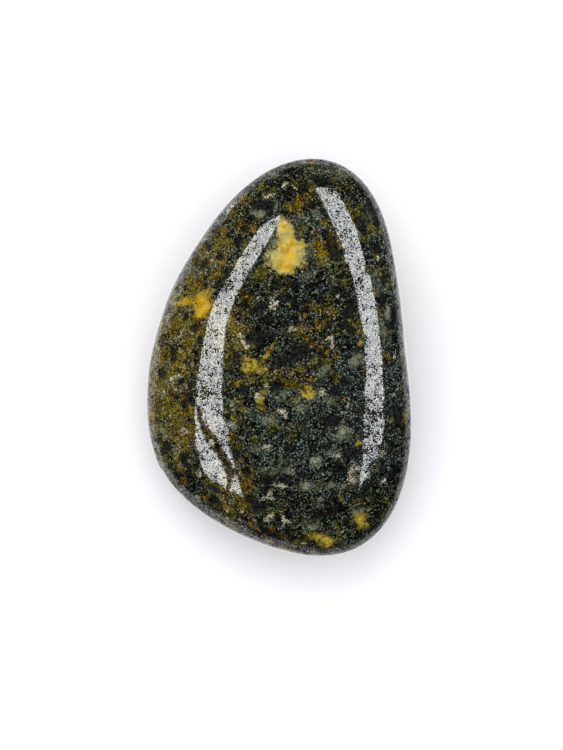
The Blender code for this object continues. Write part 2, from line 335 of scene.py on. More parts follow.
# %% Black grains
MARKS["black"] = (
    (3.6, 1.2, 1.6, 1.1, 10), (2.6, 0.1, 0.8, 0.7), (6.9, 0.6, 0.7), (6.9, -0.9, 0.5, 0.7),
    (0.3, -0.4, 1.5, 1.1), (-1.1, -1.4, 0.8, 0.7), (8.4, -10.3, 1.5, 1.1), (3.9, -10.4, 0.8, 0.7),
    (-6.1, -5.0, 1.0, 0.8), (-15.1, 7.0, 0.5, 0.7), (-13.8, 5.0, 0.8, 0.7), (-4.6, 3.5, 0.8),
    (11.8, -15.6, 1.4, 1.1), (9.4, -17.8, 1.0, 0.6), (9.8, -24.6, 0.8, 1.1), (10.2, -18.5, 1.3, 0.7),
    (1.1, -19.8, 1.0), (3.4, -19.0, 0.8, 0.7), (3.9, 27.9, 0.8, 1.0), (7.0, 28.8, 1.5, 0.8),
    (6.1, 29.4, 1.0, 0.5), (1.8, 30.7, 0.8), (3.3, 30.4, 0.7, 0.8), (-2.3, 24.8, 1.5, 1.0),
    (-3.8, 25.1, 1.0), (-1.6, 23.7, 0.7), (15.1, 25.0, 0.7, 1.6, 20), (15.9, 23.0, 0.7, 1.3, 20),
    (17.0, 9.6, 0.7, 1.0), (18.9, 7.4, 0.7, 1.6), (18.2, 5.3, 0.8), (19.0, 3.5, 0.7, 0.8),
    (9.8, 11.0, 1.3, 0.8, -30), (11.0, 7.4, 1.0), (10.7, 5.3, 1.0, 0.7), (8.7, 18.4, 1.0, 1.6),
    (7.5, 20.1, 0.7, 1.0), (9.7, 17.3, 0.8), (8.9, 16.6, 0.7, 0.8), (-17.4, 1.2, 0.7),
    (-17.4, -0.1, 0.7, 0.5), (-19.2, -2.4, 1.0, 0.8, 30), (-17.4, -5.7, 0.8, 0.7),
    (-16.6, -6.5, 0.8, 0.3), (-15.2, -5.8, 0.8, 0.4), (-15.6, -7.5, 0.7), (-15.7, -16.3, 1.0),
    (-14.9, -17.5, 0.7), (-16.4, -19.0, 0.8, 0.5), (-10.8, -23.2, 1.0, 0.8),
    (-10.8, -21.4, 1.5, 0.5, -30), (-5.1, -18.5, 0.8), (-7.0, -15.8, 0.7, 1.0), (-4.8, -23.2, 1.1, 0.8),
    (-3.4, -24.5, 1.3, 0.7), (-2.8, -28.5, 1.3, 0.8), (-0.7, -29.1, 1.1, 0.7), (-1.8, -19.8, 1.0),
    (-2.3, -21.7, 0.8, 0.7), (14.3, -21.2, 0.8, 0.7), (13.4, -22.6, 1.3, 0.5),
    (19.0, -18.5, 0.7, 1.6, -20), (19.5, -9.4, 1.0, 2.0), (20.5, -11.6, 0.7, 1.0),
    (18.4, -14.2, 0.8, 1.0), (7.9, -14.4, 0.8, 0.7), (9.3, -5.3, 1.1, 1.0), (10.7, -3.9, 1.0, 0.8),
    (5.4, -14.4, 0.8, 0.5), (1.8, -14.9, 1.0, 0.7), (-0.3, -4.5, 1.3, 0.7), (-4.9, -6.7, 0.7),
    (-3.3, 3.5, 1.0, 1.1), (-1.8, 6.5, 1.0, 0.8), (-2.8, 8.6, 1.0, 0.8), (0.7, 9.9, 1.3, 0.8),
    (-0.5, 11.9, 1.1, 0.7), (2.5, 8.9, 0.8), (-4.6, 7.6, 0.7), (-5.9, 8.9, 0.7), (2.8, 12.2, 0.8, 0.7),
    (-6.9, -0.1, 0.7, 1.0), (-7.9, -2.1, 0.5, 0.7), (-3.1, 2.0, 0.8, 0.7), (-1.3, 3.3, 0.7),
    (-6.1, 12.4, 0.7), (-8.4, 12.2, 0.5), (-5.7, 21.2, 0.8, 0.7), (-6.7, 19.2, 0.8),
    (-9.8, 16.8, 0.8, 0.7), (-12.1, 15.6, 0.8), (-4.4, 23.3, 0.7, 0.5), (0.7, 23.5, 0.7, 0.3),
    (5.4, 25.0, 0.7), (1.5, 27.0, 0.8, 0.7), (13.1, 28.1, 0.8, 0.7), (14.6, 27.4, 0.7, 0.8, 20),
    (12.8, 22.5, 0.8), (13.6, 21.2, 0.8, 0.7), (16.1, 17.9, 0.8, 1.0), (16.7, 15.6, 0.7, 0.8),
    (17.2, 12.7, 0.7, 1.0), (4.8, 15.6, 0.7), (5.7, 12.0, 1.0, 0.7), (6.7, 9.4, 0.8, 0.7),
    (4.4, 9.4, 0.7), (8.2, 5.6, 0.7), (12.0, 4.5, 0.7, 0.8), (11.6, 9.1, 0.7, 0.8), (12.3, 8.1, 0.7),
    (6.2, -25.8, 1.1, 0.5), (8.4, -25.0, 0.7), (15.6, -28.5, 0.8, 0.7), (16.2, -25.8, 0.7, 0.8),
    (11.1, -26.7, 0.5), (2.8, -23.7, 0.8, 0.7), (1.6, -25.5, 0.7, 0.5), (-13.1, 2.9, 0.5, 0.7),
    (-13.6, 0.9, 0.5), (-14.6, -4.5, 0.5, 0.7), (-14.3, -7.0, 0.5, 0.3), (-18.5, -14.5, 0.8, 1.0),
    (-19.2, -15.2, 0.7, 0.8), (-16.6, -21.7, 0.8, 0.7), (-14.1, -23.9, 0.8, 0.7, 20),
    (-11.6, -25.8, 0.8, 0.5, -30))
print("marks so far:", sum(map(len, MARKS.values())))

# %% Seams and the rusty vein
MARKS["seam"] = (
    (-5.0, -25.5, 0.7, 0.22, -52), (-4.3, -26.6, 0.8, 0.22, -55), (-3.4, -27.9, 0.9, 0.22, -48),
    (-2.8, -29.2, 0.7, 0.2, -80), (-11.9, -11.4, 0.9, 0.16, -50), (-7.7, -18.0, 0.8, 0.16, -52),
    (4.8, 22.0, 0.6, 0.18, -48), (5.6, 21.1, 0.7, 0.18, -50), (6.3, 20.1, 0.7, 0.18, -55),
    (6.75, 19.0, 0.7, 0.18, -85))
MARKS["rust"] = (
    (-13.0, -9.1, 0.3, 1.0), (-12.7, -10.6, 1.0, 0.3, -65), (-12.0, -12.0, 1.0, 0.6, -45),
    (-11.1, -13.1, 1.0, 0.8, -50), (-10.2, -14.6, 1.0, 0.8, -60), (-9.4, -16.0, 0.9, 0.65, -50),
    (-8.6, -17.3, 0.9, 0.55, -50), (-8.1, -18.5, 0.8, 0.65, -60), (-7.2, -18.5, 0.7, 0.45, -40),
    (-8.2, -20.0, 0.9, 0.3, 90), (-8.3, -21.2, 0.7, 0.3, 80), (8.5, 12.9, 0.7, 0.5), (8.9, -11.4, 0.4),
    (-16.9, -12.7, 0.7, 0.5), (-15.2, -17.6, 0.5), (-12.5, -19.4, 0.7, 0.4, 30),
    (-8.5, -22.6, 0.9, 0.6, -30), (-15.9, 3.3, 0.7, 0.5), (-5.4, -15.6, 0.6, 1.0),
    (-5.4, 25.1, 0.7, 0.4, 30), (-19.0, 2.9, 1.0, 1.1), (-17.5, 3.3, 0.7, 1.0), (-3.0, -29.0, 0.7),
    (-4.1, -28.5, 0.8, 0.7), (-1.5, -28.1, 0.8, 0.5), (14.9, 14.7, 0.7), (-10.5, 20.6, 0.8),
    (-12.0, 18.1, 0.8, 1.0), (-13.6, 15.6, 0.8, 1.0), (-7.9, 2.9, 0.7, 0.8), (9.0, 18.9, 0.5, 0.7),
    (-2.3, 26.3, 0.8, 0.4))
print("marks by hand:", {kind: len(rows) for kind, rows in MARKS.items()})

# %% [markdown]
# ## From marks to fields
# A surface point gets one number for each kind of mark: 1 in the middle of a mark, 0 on its edge and
# less than 0 outside. The material frays these edges with noise, so the mesh doesn't have to be as fine
# as they are. The rows say where the camera sees the marks. A lens shows what is nearer to it further
# out, so the points of the dome are first brought to where they are seen too.

# %% Places as the camera sees them
CAMERA_RISE = 620.0
CAMERA_PLACE = np.array([0.41, -2.75])


def seen_from_above(points):
    """Places at girth height that the camera sees points at: their offset from the camera's own place
    times rise / (rise - height), which is more the nearer they are to it."""
    height = points[:, 2:] - GIRTH_HEIGHT
    return CAMERA_PLACE + (points[:, :2] - CAMERA_PLACE) * CAMERA_RISE / (CAMERA_RISE - height)


seen = seen_from_above(places)
print("outline that the camera sees, in mm:", np.round(seen.max(axis=0) - seen.min(axis=0), 2))

# %% Fields of the marks
FIELD_FLOOR = -2.0
HIDDEN_MARGIN = 1.0
SEED = 7


def full_row(row):
    """A mark's place, half length, half width and turn in radians, from its short form."""
    x, y, length, *others = row
    width = others[0] if others else length
    turn = others[1] if len(others) > 1 else 0.0
    return x, y, length, width, math.radians(turn)


def ellipsoid_field(middle, length, width, turn):
    """1 - sqrt((u / length)^2 + (v / width)^2 + (z / depth)^2) at every point: u and v run along and
    across the mark in plan, and the depth is the larger of its two sizes."""
    x, y, z = (places - middle).T
    u = x * math.cos(turn) + y * math.sin(turn)
    v = y * math.cos(turn) - x * math.sin(turn)
    return 1.0 - np.sqrt((u / length) ** 2 + (v / width) ** 2 + (z / max(length, width)) ** 2)


def marks_by_hand(rows):
    """The largest field of the rows. A mark's middle is the point of the upper side that is seen
    nearest to its place."""
    field = np.full(len(places), FIELD_FLOOR)
    for x, y, *shape in map(full_row, rows):
        distance = np.where(upper_side, np.hypot(*(seen - (x, y)).T), np.inf)
        field = np.maximum(field, ellipsoid_field(places[np.argmin(distance)], *shape))
    return field


def marks_at_random(rows, generator):
    """The largest field of as many random copies of the rows, laid at random places and turns on the
    side that the camera doesn't see."""
    field = np.full(len(places), FIELD_FLOOR)
    for _ in rows:
        length, width, turn = full_row(rows[generator.integers(len(rows))])[2:]
        middle = places[generator.choice(hidden)]
        turn += generator.uniform(0.0, math.pi)
        field = np.maximum(field, ellipsoid_field(middle, length, width, turn))
    return field


upper_side = normals[:, 2] > 0.0
hidden = np.flatnonzero(places[:, 2] < GIRTH_HEIGHT - HIDDEN_MARGIN)
generator = np.random.default_rng(SEED)
fields = {}
for kind, rows in MARKS.items():
    fields[kind] = np.maximum(marks_by_hand(rows), marks_at_random(rows, generator))
    print(kind, "covers", round(100.0 * float((fields[kind] > 0.0).mean()), 1), "percent of the surface")

# %% [markdown]
# ## Broad zones
# Iron stained the left flank brown, the lower middle and the right are a cool green-grey, the lower end
# and some smaller spots are mossy and dark, and in four spots more grains tore out of the polish. Zones
# this broad have no edge, so each is a sum of soft round clouds that run right through the stone.

# %% Zones
# Each row is a cloud: its place (x, y) and how far from there it has faded to about a third.
ZONES = {
    "warm": (
        (-19.0, 10.0, 7.0), (-20.0, -2.0, 7.5), (-17.0, -13.0, 5.5), (-11.0, 17.0, 3.5),
        (-8.0, -21.0, 4.0), (8.0, 17.0, 3.0), (-8.0, 4.0, 3.5)),
    "cool": (
        (1.0, -12.0, 7.5), (10.0, -16.0, 6.0), (12.5, -3.0, 5.0), (18.0, -4.0, 6.0), (17.0, 8.0, 5.0),
        (5.0, 12.0, 3.0), (4.0, 21.0, 3.0), (17.0, -17.0, 4.0), (0.0, 6.0, 2.5), (15.0, 20.0, 4.0)),
    "dark": (
        (3.0, -27.0, 8.0), (-12.0, -22.0, 7.0), (13.0, -27.0, 7.0), (19.0, -18.0, 4.0), (-1.0, 5.0, 3.0),
        (-19.0, 2.5, 1.8), (-16.4, -4.8, 1.3), (-16.0, -14.0, 5.0), (1.0, 27.0, 4.0), (9.5, 12.0, 4.0)),
    "torn": (
        (15.7, -8.5, 3.0), (14.5, -15.0, 2.8), (-12.4, -5.0, 2.0), (-9.5, 12.0, 2.5)),
}


def cloud_field(clouds):
    """Sum of bell curves exp(-(distance / size)^2) over the clouds, no more than 1."""
    distance = [np.hypot(places[:, 0] - x, places[:, 1] - y) / size for x, y, size in clouds]
    return np.minimum(sum(np.exp(-share ** 2) for share in distance), 1.0)


for zone, clouds in ZONES.items():
    fields[zone] = cloud_field(clouds)
    print("mean of the", zone, "zone:", round(float(fields[zone].mean()), 2))

# %% [markdown]
# ## Hand-polished relief
# No hand-polished stone is quite even. Slow waves a few hundredths of a millimetre deep bend the
# reflections a little, and the softer rust of the vein is worn deeper. Both are cut into the mesh, and
# not left to a bump texture, so that the form has them from every side. They are cut inwards, so that
# the stone stays inside the solid's size, and fade out at the flat spot that it rests on.

# %% Waves and the worn vein
WAVE_COUNT = 40
WAVE_LENGTHS = (3.0, 8.0)
WAVE_DEPTH = 0.032
VEIN_DEPTH = 0.02
VEIN_EDGE = (-0.1, 0.5)
REST_FADE = (0.0, 0.6)


def waviness(points, generator):
    """Sum of plane waves sin(k . p + phase) in random directions, brought to between 0 and 1."""
    direction = generator.normal(size=(WAVE_COUNT, 3))
    direction /= np.linalg.norm(direction, axis=1, keepdims=True)
    rate = 2.0 * math.pi / generator.uniform(*WAVE_LENGTHS, size=(WAVE_COUNT, 1))
    phase = generator.uniform(0.0, 2.0 * math.pi, size=WAVE_COUNT)
    waves = np.sin(points @ (direction * rate).T + phase).sum(axis=1)
    return (waves - waves.min()) / (waves.max() - waves.min())


def smooth_step(value, low, high):
    """0 below low, 1 above high, and 3 s^2 - 2 s^3 of the share s between."""
    share = np.clip((value - low) / (high - low), 0.0, 1.0)
    return share * share * (3.0 - 2.0 * share)


depth = WAVE_DEPTH * waviness(places, generator) + VEIN_DEPTH * smooth_step(fields["rust"], *VEIN_EDGE)
depth = depth * smooth_step(places[:, 2], *REST_FADE)
places = places - normals * depth[:, None]
print("deepest cut:", round(float(depth.max()), 3), "mm")

# %% [markdown]
# ## The mesh
# The points go into the mesh as whole arrays, which is much quicker than adding them one by one. Each
# field becomes an attribute, a number per point, that the material reads.

# %% Mesh and attributes
def make_mesh(name, points_mm, cells, attributes):
    """A smooth mesh in metres from points in mm and four-cornered cells, with a number per point for
    each attribute."""
    mesh = bpy.data.meshes.new(name)
    mesh.vertices.add(len(points_mm))
    mesh.vertices.foreach_set("co", (points_mm * MM).astype(np.float32).ravel())
    mesh.loops.add(cells.size)
    mesh.loops.foreach_set("vertex_index", cells.astype(np.int32).ravel())
    mesh.polygons.add(len(cells))
    mesh.polygons.foreach_set("loop_start", np.arange(0, cells.size, cells.shape[1], dtype=np.int32))
    mesh.update(calc_edges=True)
    mesh.validate()
    mesh.shade_smooth()
    for attribute, values in attributes.items():
        layer = mesh.attributes.new(attribute, "FLOAT", "POINT")
        layer.data.foreach_set("value", values.astype(np.float32))
    return mesh


stone = bpy.data.objects.new("bluestone_pebble", make_mesh("bluestone_pebble", places, faces, fields))
bpy.context.scene.collection.objects.link(stone)
print("mesh:", len(stone.data.vertices), "points,", 2 * len(stone.data.polygons), "triangles")

# %% [markdown]
# ## Wiring helpers
# A material is a net of nodes. These helpers let a formula be written on one line: anything that a
# node needs may be a number, a colour or the output of another node.

# %% Placing and joining nodes
def plug(tree, socket, value):
    """Joins an output to the socket, or sets the socket to a plain value."""
    if isinstance(value, bpy.types.NodeSocket):
        tree.links.new(value, socket)
    else:
        socket.default_value = value


def node(tree, kind, inputs=(), **settings):
    """A node of a kind with its settings, and its inputs by name or number."""
    made = tree.nodes.new("ShaderNode" + kind)
    for name, value in settings.items():
        setattr(made, name, value)
    for name, value in dict(inputs).items():
        plug(tree, made.inputs[name], value)
    return made


def group(name, inputs, outputs):
    """An empty node group, with the names of its sockets by their kind. Returns it with its two ends."""
    tree = bpy.data.node_groups.new(name, "ShaderNodeTree")
    for side, sockets in (("INPUT", inputs), ("OUTPUT", outputs)):
        for kind, names in sockets.items():
            for socket in names:
                tree.interface.new_socket(socket, in_out=side, socket_type="NodeSocket" + kind)
    return tree, tree.nodes.new("NodeGroupInput").outputs, tree.nodes.new("NodeGroupOutput").inputs


# %% Sums on numbers and places
def maths(tree, operation, *values):
    """A Math node on numbers."""
    return node(tree, "Math", enumerate(values), operation=operation).outputs[0]


def scaled(tree, value, factor, plus=0.0):
    """value * factor + plus."""
    return maths(tree, "MULTIPLY_ADD", value, factor, plus)


def centred(tree, share):
    """A share between 0 and 1 as its offset from a half."""
    return maths(tree, "SUBTRACT", share, 0.5)


def rest_of(tree, share):
    """1 - share."""
    return maths(tree, "SUBTRACT", 1.0, share)


def step(tree, value, low, high):
    """Smooth step from 0 at low to 1 at high."""
    inputs = {"Value": value, "From Min": low, "From Max": high}
    return node(tree, "MapRange", inputs, interpolation_type="SMOOTHSTEP").outputs["Result"]


def lean(tree, value, numbers, weights):
    """The value plus each weight times the number of the same name."""
    for name, weight in weights.items():
        value = scaled(tree, numbers[name], weight, value)
    return value


def vector(tree, operation, *values, **named):
    """A Vector Math node on places."""
    inputs = {**dict(enumerate(values)), **named}
    return node(tree, "VectorMath", inputs, operation=operation).outputs[0]


# %% Textures and colours
def noise(tree, place, size, detail):
    """Cloudy noise between 0 and 1 whose lumps measure about size."""
    return node(tree, "TexNoise", {"Vector": place, "Scale": 1.0 / size, "Detail": detail}).outputs["Fac"]


def grains(tree, place, size):
    """Crystal-like cells of about size that fill space: three random numbers for each cell, and then
    the distance from its middle as a share of size."""
    cells = node(tree, "TexVoronoi", {"Vector": place, "Scale": 1.0 / size}).outputs
    return *node(tree, "SeparateColor", {"Color": cells["Color"]}).outputs, cells["Distance"]


def blend(tree, share, first, second):
    """The first colour turning into the second as share goes from 0 to 1. A Mix node has a pair of
    inputs for each type: 6 and 7 are its colours, and output 2 is their mix."""
    return node(tree, "Mix", {0: share, 6: first, 7: second}, data_type="RGBA").outputs[2]


# %% [markdown]
# ## Interlocked crystals
# Dolerite is a felt of crystals a few tenths of a millimetre long, with bigger dark pyroxenes between
# them. A picture of rock would stretch over the stone's sides, so the rock is worked out in space: cells
# of random brightness in three sizes and clouds in three sizes add up to one tone, which spreads light
# and dark at every scale as the rock does. Noise first pushes each place about, because no crystal has
# the straight sides of a cell.

# %% Crystal tone
WANDER_RATE = 1.2
WANDER_REACH = 0.9
SPECK_SIZE = 0.18
FELT_SIZE = 0.32
CRYSTAL_SIZE = 0.65
SOFT_NOISE = (0.55, 1.0)
CLOUD_NOISE = (1.2, 2.0)
SLOW_NOISE = (3.5, 2.0)
TONE_MIDDLE = 0.49
TONE_WEIGHTS = (0.19, 0.10, 0.18, 0.27, 0.18)
GLITTER_EDGE = (0.35, 0.62)
GLITTER_GAIN = 0.45
GLITTER_LEAST = 0.70


def wandering(tree, place):
    """The place pushed about by coloured noise with WANDER_RATE lumps in a mm: its red, green and blue
    are the three parts of the push."""
    shares = node(tree, "TexNoise", {"Vector": place, "Scale": WANDER_RATE, "Detail": 1.0}).outputs
    offset = vector(tree, "SUBTRACT", shares["Color"], (0.5, 0.5, 0.5))
    return vector(tree, "ADD", place, vector(tree, "SCALE", offset, Scale=WANDER_REACH))


def crystal_tone(tree, place, speck, felt, crystal, cloud):
    """TONE_MIDDLE, plus the third power of the speck's offset, which keeps most specks faint, plus the
    weighted offsets of the others. Specks glitter more where the slow cloud is high."""
    slow = noise(tree, place, *SLOW_NOISE)
    offset = scaled(tree, speck, 2.0, -1.0)
    spark = scaled(tree, scaled(tree, offset, offset), offset)
    glitter = scaled(tree, step(tree, slow, *GLITTER_EDGE), GLITTER_GAIN, GLITTER_LEAST)
    tone = scaled(tree, spark, glitter, TONE_MIDDLE)
    others = (felt, crystal, noise(tree, place, *SOFT_NOISE), cloud, slow)
    for value, weight in zip(others, TONE_WEIGHTS):
        tone = scaled(tree, centred(tree, value), weight, tone)
    return tone


# %% The crystals as a shared group
PYROXENE_SIZE = 1.6
PYROXENE_EDGE = (0.25, 0.55)
PYROXENE_DRAW = (0.35, 0.55)
PYROXENE_TONE = -0.22
HUE_NOISE = (1.3, 2.0)
HUE_WEIGHTS = {"felt": 0.12, "crystal": 0.12, "cloud": 1.06}
CLOUD_CONTRAST = 2.2
STAIN_NOISE = (2.2, 1.5)
STAIN_MOVE = (31.0, 17.0, 5.0)
STAIN_GRAIN = 0.02


def pyroxene_mask(tree, place):
    """1 in the middle of a big cell if its random number is high, for a round dark grain."""
    drawn, _, _, distance = grains(tree, place, PYROXENE_SIZE)
    inside = rest_of(tree, step(tree, distance, *PYROXENE_EDGE))
    return scaled(tree, inside, step(tree, drawn, *PYROXENE_DRAW))


def crystal_group():
    """Place in, numbers out: the rock's Tone, slow random numbers (Hue and Cloud), random numbers of
    each speck (Speck and Shine), the cloud that gold Stain follows, and the mask of each Pyroxene."""
    names = ("Tone", "Hue", "Cloud", "Speck", "Shine", "Stain", "Pyroxene")
    tree, given, result = group("interlocked_crystals", {"Vector": ["Place"]}, {"Float": names})
    place = wandering(tree, given["Place"])
    specks, felt, crystals = (grains(tree, place, size) for size in (SPECK_SIZE, FELT_SIZE, CRYSTAL_SIZE))
    cloud = noise(tree, place, *CLOUD_NOISE)
    tone = crystal_tone(tree, place, specks[0], felt[0], crystals[0], cloud)
    pyroxene = pyroxene_mask(tree, place)
    hues = {"felt": felt[1], "crystal": crystals[1], "cloud": noise(tree, place, *HUE_NOISE)}
    stain = noise(tree, vector(tree, "ADD", place, STAIN_MOVE), *STAIN_NOISE)
    values = (
        scaled(tree, pyroxene, PYROXENE_TONE, tone), lean(tree, 0.0, hues, HUE_WEIGHTS),
        scaled(tree, centred(tree, cloud), CLOUD_CONTRAST, 0.5), specks[1], specks[2],
        scaled(tree, centred(tree, felt[2]), STAIN_GRAIN, stain), pyroxene)
    for name, value in zip(names, values):
        plug(tree, result[name], value)
    return tree


crystals_group = crystal_group()
print("nodes that make the crystals:", len(crystals_group.nodes))

# %% [markdown]
# ## Marks with frayed edges
# A stain creeps along the joints between crystals, so its edge is ragged. One group serves every kind
# of mark: noise disturbs the field, which then becomes a mask that lays a granular colour over what is
# there.

# %% Mineral mark
TONGUE_REACH = 2.6
SPECK_REACH = 0.35
TINT_EDGE = (0.15, 0.85)
SHAPE_INPUTS = ("Ragged", "Soft", "Strength", "Grainy", "Lump")


def mark_group():
    """Field and base colour in, colour with the mark laid over it and the mark's mask out. Ragged and
    Soft shape its edge, Lump is the size of the edge's tongues, Strength is how much it covers, and
    Grainy is how much of the rock's own grain shows in it."""
    tree, given, result = group(
        "mineral_mark",
        {"Color": ["Base", "Dark", "Light"], "Vector": ["Place"],
         "Float": ["Field", "Tone", "Cloud", "Speck", *SHAPE_INPUTS]},
        {"Color": ["Colour"], "Float": ["Mask"]})
    rate = maths(tree, "DIVIDE", 1.0, given["Lump"])
    lumps = node(tree, "TexNoise", {"Vector": given["Place"], "Scale": rate, "Detail": 2.0}).outputs
    fine = scaled(tree, centred(tree, given["Speck"]), SPECK_REACH)
    fray = scaled(tree, centred(tree, lumps["Fac"]), TONGUE_REACH, fine)
    frayed = scaled(tree, fray, given["Ragged"], given["Field"])
    mask = step(tree, frayed, scaled(tree, given["Soft"], -1.0), given["Soft"])
    mask = scaled(tree, mask, given["Strength"])
    grain = maths(tree, "SUBTRACT", given["Tone"], given["Cloud"])
    level = scaled(tree, grain, given["Grainy"], given["Cloud"])
    tint = blend(tree, step(tree, level, *TINT_EDGE), given["Dark"], given["Light"])
    plug(tree, result["Colour"], blend(tree, mask, given["Base"], tint))
    plug(tree, result["Mask"], mask)
    return tree


marks_group = mark_group()
print("nodes that make a mark:", len(marks_group.nodes))

# %% [markdown]
# ## Polish that isn't perfect
# Softer grains tear out under the polishing cloth and leave pits about 0.2 mm wide. A reflection
# breaks up over them, which tells the eye that this is stone and not glass.

# %% Pits
SMALL_PIT_NOISE = (0.23, 1.0)
SMALL_PIT_LEVEL = 0.66
SMALL_PIT_EDGE = (-0.03, 0.04)
PIT_CLOUD_NOISE = (1.6, 2.0)
PIT_CLOUD_WEIGHT = -0.6
WIDE_PIT_NOISE = (0.6, 2.0)
WIDE_PIT_WEIGHT = 0.6
WIDE_PIT_EDGE = (0.67, 0.72)


def pit_group():
    """Place and amount in, mask of pits out: small pits where noise is over a level that wanders slowly
    over the stone, and a few wide ones where whole grains are gone. More amount gives more of both."""
    inputs = {"Vector": ["Place"], "Float": ["Amount"]}
    tree, given, result = group("torn_pits", inputs, {"Float": ["Mask"]})
    place, amount = given["Place"], given["Amount"]
    slow = centred(tree, noise(tree, place, *PIT_CLOUD_NOISE))
    level = scaled(tree, slow, PIT_CLOUD_WEIGHT, maths(tree, "SUBTRACT", SMALL_PIT_LEVEL, amount))
    over = maths(tree, "SUBTRACT", noise(tree, place, *SMALL_PIT_NOISE), level)
    lost = scaled(tree, amount, WIDE_PIT_WEIGHT, noise(tree, place, *WIDE_PIT_NOISE))
    small, wide = step(tree, over, *SMALL_PIT_EDGE), step(tree, lost, *WIDE_PIT_EDGE)
    plug(tree, result["Mask"], maths(tree, "MAXIMUM", small, wide))
    return tree


pits_group = pit_group()
print("nodes that make the pits:", len(pits_group.nodes))

# %% [markdown]
# ## Colours as they look and as they are
# Levels from 0 to 255 say how a mineral looks under the studio's light, which is brighter than 1. The
# stone's own colour is what is left when that light is divided out. How bright it is, on the dark rock
# and on the paler marks, was found by rendering and comparing. Each kind of rock is a ramp from its
# blackest grains to its palest flecks, with stops that follow how brightness is shared out in it.

# %% Rock and mark colours
EYE_GAMMA = 2.2
ROCK_LIGHT = (1.44, 1.345, 1.38)
MARK_LIGHT = (1.38, 1.38, 1.38)
TONE_STOPS = (0.10, 0.26, 0.40, 0.5, 0.60, 0.76, 0.95)
ROCKS = {
    "neutral": (
        (2, 3, 1), (10, 11, 5), (20, 22, 11), (29, 32, 16), (40, 44, 24), (61, 65, 40), (132, 134, 108)),
    "moss": (
        (2, 3, 1), (10, 12, 4), (17, 22, 8), (23, 30, 13), (31, 39, 19), (48, 58, 34), (104, 114, 78)),
    "cool": (
        (3, 4, 3), (12, 15, 12), (22, 28, 23), (30, 39, 33), (41, 52, 45), (64, 78, 69), (132, 146, 132)),
    "warm": (
        (20, 15, 6), (52, 43, 21), (80, 70, 42), (103, 92, 58), (124, 112, 72), (152, 140, 92),
        (188, 178, 132)),
    "gold": (
        (16, 12, 2), (38, 31, 5), (60, 50, 10), (82, 69, 13), (102, 87, 19), (124, 108, 32),
        (150, 134, 60)),
    "pyroxene": (
        (3, 3, 4), (12, 13, 14), (23, 26, 27), (33, 37, 39), (45, 50, 53), (70, 76, 78), (150, 156, 156)),
}
# The marks in the order in which they are laid, from the softest stain to the crispest fleck: darkest
# and lightest level, then the values of SHAPE_INPUTS.
MARK_LOOKS = {
    "pale": ((44, 52, 40), (146, 154, 126), 0.9, 0.6, 0.6, 0.6, 0.9),
    "olive": ((28, 27, 5), (128, 122, 38), 0.9, 0.5, 0.75, 0.7, 0.9),
    "ochre": ((34, 26, 4), (168, 136, 32), 0.9, 0.5, 0.8, 0.7, 0.9),
    "black": ((2, 2, 3), (42, 44, 46), 0.35, 0.25, 0.88, 1.0, 0.9),
    "rust": ((16, 12, 4), (104, 80, 40), 1.1, 0.6, 0.4, 0.9, 0.9),
    "seam": ((92, 72, 48), (176, 146, 112), 0.5, 0.3, 0.8, 0.7, 0.35),
    "mint": ((96, 104, 82), (162, 168, 138), 0.8, 0.5, 0.9, 0.3, 0.7),
    "yellow": ((100, 84, 16), (194, 174, 70), 0.8, 0.5, 0.95, 0.25, 0.7),
    "orange": ((72, 48, 5), (174, 120, 24), 0.9, 0.5, 0.75, 0.5, 0.9),
    "epidote": ((178, 160, 84), (208, 196, 122), 0.5, 0.35, 0.97, 0.05, 0.9),
    "amber": ((184, 144, 24), (228, 185, 56), 0.6, 0.6, 0.88, 0.05, 0.9),
    "cream": ((104, 98, 76), (226, 219, 190), 1.1, 0.15, 1.0, 0.7, 0.35),
}


def own_colour(level, light=MARK_LIGHT):
    """The share of light that the stone gives back where it shows a level: (level / 255)^2.2 / light."""
    return tuple((part / 255.0) ** EYE_GAMMA / lit for part, lit in zip(level, light)) + (1.0,)


def rock_ramp(tree, tone, levels):
    """Colour along a ramp through the levels of a rock, one at each of TONE_STOPS."""
    made = node(tree, "ValToRGB", {"Fac": tone})
    stops = made.color_ramp.elements
    while len(stops) < len(levels):
        stops.new(1.0)
    for stop, position, level in zip(stops, TONE_STOPS, levels):
        stop.position, stop.color = position, own_colour(level, ROCK_LIGHT)
    return made.outputs["Color"]


print("own colour of middling rock:", np.round(own_colour(ROCKS["neutral"][3], ROCK_LIGHT)[:3], 4))

# %% [markdown]
# ## Rock
# The zones come first, each blended over the last with the patchy edge of a slow random number. Gold
# stain follows, then the pyroxenes, which are fainter in the brown rock, and last the single specks:
# some whitened as painted glints, and some blackened as pores with painted shade.

# %% Rock colour
HUE_MIDDLE = 0.65
PATCHINESS = 1.8
WARM_REACH = 0.8
ZONE_EDGE = (0.25, 0.75)
TONE_LEAN = {"dark": -0.10, "warm": 0.07}
GOLD_LEAN = {"warm": 0.12}
STAIN_LEAN = {"warm": 0.10, "dark": -0.04, "cool": -0.05}
STAIN_EDGE = (0.52, 0.66)
PYROXENE_STRENGTH = 0.6
PYROXENE_IN_WARM = -0.4
# Painted glints: white laid into the colour of a few specks, for light their facets would catch.
PAINTED_GLINT_WHITE = (178, 182, 174)
PAINTED_GLINT_EDGE = (0.90, 0.93)
PAINTED_GLINT_STRENGTH = 0.36
# Painted shade: black laid into the colour of a few specks, for the shade in their pores.
PORE_SHADE_BLACK = (3, 3, 2)
PORE_SHADE_EDGE = (0.08, 0.11)
PORE_SHADE_STRENGTH = 0.6


